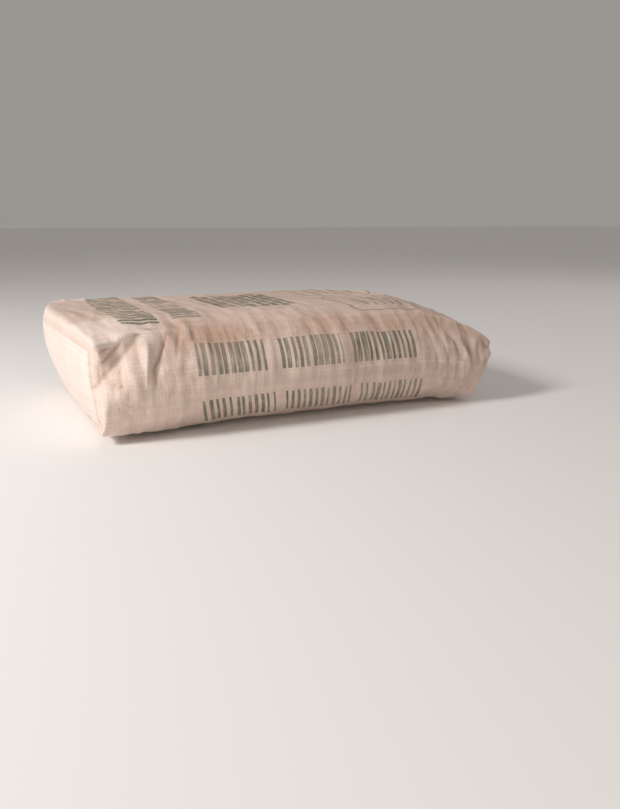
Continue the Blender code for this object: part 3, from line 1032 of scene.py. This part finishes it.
def surface_tones(graph, colour, spot, tapes_height, tone):
    """Adds specks, dirt and painted shade in the creases, rubbed ridges, painted shade in the tapes' gaps
    and each tape's own tone.
    """
    specks = graph.ramp(graph.noise(spot, 260.0, 2.0, 0.5), 0.7, 0.78, 0.0, 0.5)
    colour = graph.mix(specks, colour, SPECK)
    hollow = graph.node("Attribute", attribute_name="hollow").outputs["Fac"]
    # dirt and painted shade in the creases, darkest where the surface is most hollow
    colour = graph.mix(graph.ramp(hollow, 0.55, 1.0, 0.0, 0.5), colour, CREASE_DIRT_AND_SHADE)
    colour = graph.mix(graph.ramp(hollow, 0.0, 0.42, 0.25, 0.0), colour, RUBBED_RIDGE)
    # painted shade in the gaps between the tapes, times each tape's own tone
    tape_gaps_painted_shade = graph.ramp(tapes_height, 0.0, 0.8, 0.9, 1.0)
    shade = graph.times(tape_gaps_painted_shade, graph.math("MULTIPLY_ADD", tone, 0.11, 0.92))
    return graph.mix(1.0, colour, graph.vector(shade, shade, shade), "MULTIPLY")


def cloth_material(name, base, aged, printed):
    """White woven plastic cloth with its tapes, dust, stains and, on the tube, faded green print."""
    graph = Graph(name)
    uv = graph.node("UVMap", uv_map="cloth").outputs[0]
    parts = graph.node("SeparateXYZ", {"Vector": uv})
    along, round_ = places = parts.outputs[0], parts.outputs[1]
    spot = graph.node("TexCoord").outputs["Object"]
    on_tube = graph.math("LESS_THAN", graph.size(along), END_CLOTH_OFFSET)
    on_end = graph.minus(1.0, on_tube)
    up = graph.size(graph.minus(graph.size(along), END_CLOTH_OFFSET + CLOTH_LENGTH / 2.0))
    aside = graph.size(round_)
    tapes_height, tone = weave(graph, along, round_)

    colour = plain_tone(graph, spot, places, on_end, base, aged, 0.5 if printed else 0.2)
    # painted shade along the rims of the end patches
    colour = rim_painted_shade(graph, colour, up, aside, on_end)
    height = graph.noise(graph.stretched(places, 260.0, 60.0), 1.0, 4.0, 0.6)
    if printed:
        colour = tube_tones(graph, colour, spot, places, on_tube)
        tuck = graph.times(tuck_height(graph, up, aside), on_end)
        height = graph.math("MULTIPLY_ADD", tuck, 0.8, height)
    colour = surface_tones(graph, colour, spot, tapes_height, tone)

    graph.link(colour, graph.shader.inputs["Base Color"])
    rough = graph.ramp(graph.noise(spot, 18.0, 3.0), 0.3, 0.7, 0.44, 0.62)
    graph.link(rough, graph.shader.inputs["Roughness"])
    graph.link(0.4, graph.shader.inputs["Specular IOR Level"])
    normal = graph.node("Bump", {"Strength": 0.55, "Distance": CRINKLE_HEIGHT, "Height": height}).outputs[0]
    tapes = {"Strength": 0.8, "Distance": TAPE_HEIGHT, "Height": tapes_height, "Normal": normal}
    graph.link(graph.node("Bump", tapes).outputs[0], graph.shader.inputs["Normal"])
    return graph.material


def studio():
    """Pale floor, soft light mainly from the left, and the camera where the photo was taken from."""
    bpy.ops.mesh.primitive_plane_add(size=FLOOR_SIZE)
    floor = bpy.context.object
    floor.name = "floor"
    paper = Graph("floor_paper")
    for name, value in (("Base Color", FLOOR_COLOUR), ("Roughness", 1.0), ("Specular IOR Level", 0.0)):
        paper.link(value, paper.shader.inputs[name])
    floor.data.materials.append(paper.material)

    world = bpy.data.worlds.new("studio")
    world.use_nodes = True
    background = world.node_tree.nodes["Background"]
    background.inputs["Color"].default_value = WORLD_COLOUR
    background.inputs["Strength"].default_value = WORLD_STRENGTH
    scene = bpy.context.scene
    scene.world = world
    scene.view_settings.view_transform = "Standard"

    for name, (place, width, height, power, colour) in LIGHTS.items():
        light = bpy.data.lights.new(name, "AREA")
        light.shape = "RECTANGLE"
        light.size = width
        light.size_y = height
        light.energy = power
        light.color = colour
        lamp = add_object(name, light)
        lamp.location = place
        lamp.rotation_euler = (Vector(LIT_POINT) - lamp.location).to_track_quat("-Z", "Y").to_euler()

    camera = bpy.data.cameras.new("camera")
    camera.sensor_width = SENSOR
    camera.lens = FOCAL_PIXELS / PHOTO_HEIGHT_PIXELS * SENSOR
    eye = add_object("camera", camera)
    eye.location = EYE
    eye.rotation_euler = (math.radians(90.0 - EYE_PITCH), 0.0, math.radians(EYE_TURN))
    scene.camera = eye


def main():
    studio()
    sack = make_sack()
    sack.data.materials.append(cloth_material("woven_cloth", CLEAN_CLOTH, AGED_CLOTH, True))
    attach(sack, "root")
    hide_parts("sack_body")

    patch_cloth = cloth_material("patch_cloth", CLEAN_PATCH, AGED_PATCH, False)
    for end, name in ((-1, "end_patch_left"), (1, "end_patch_right")):
        patch = make_patch(sack, end, "cover_" + name)
        patch.data.materials.append(patch_cloth)
        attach(patch, "root")
        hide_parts(name)


main()
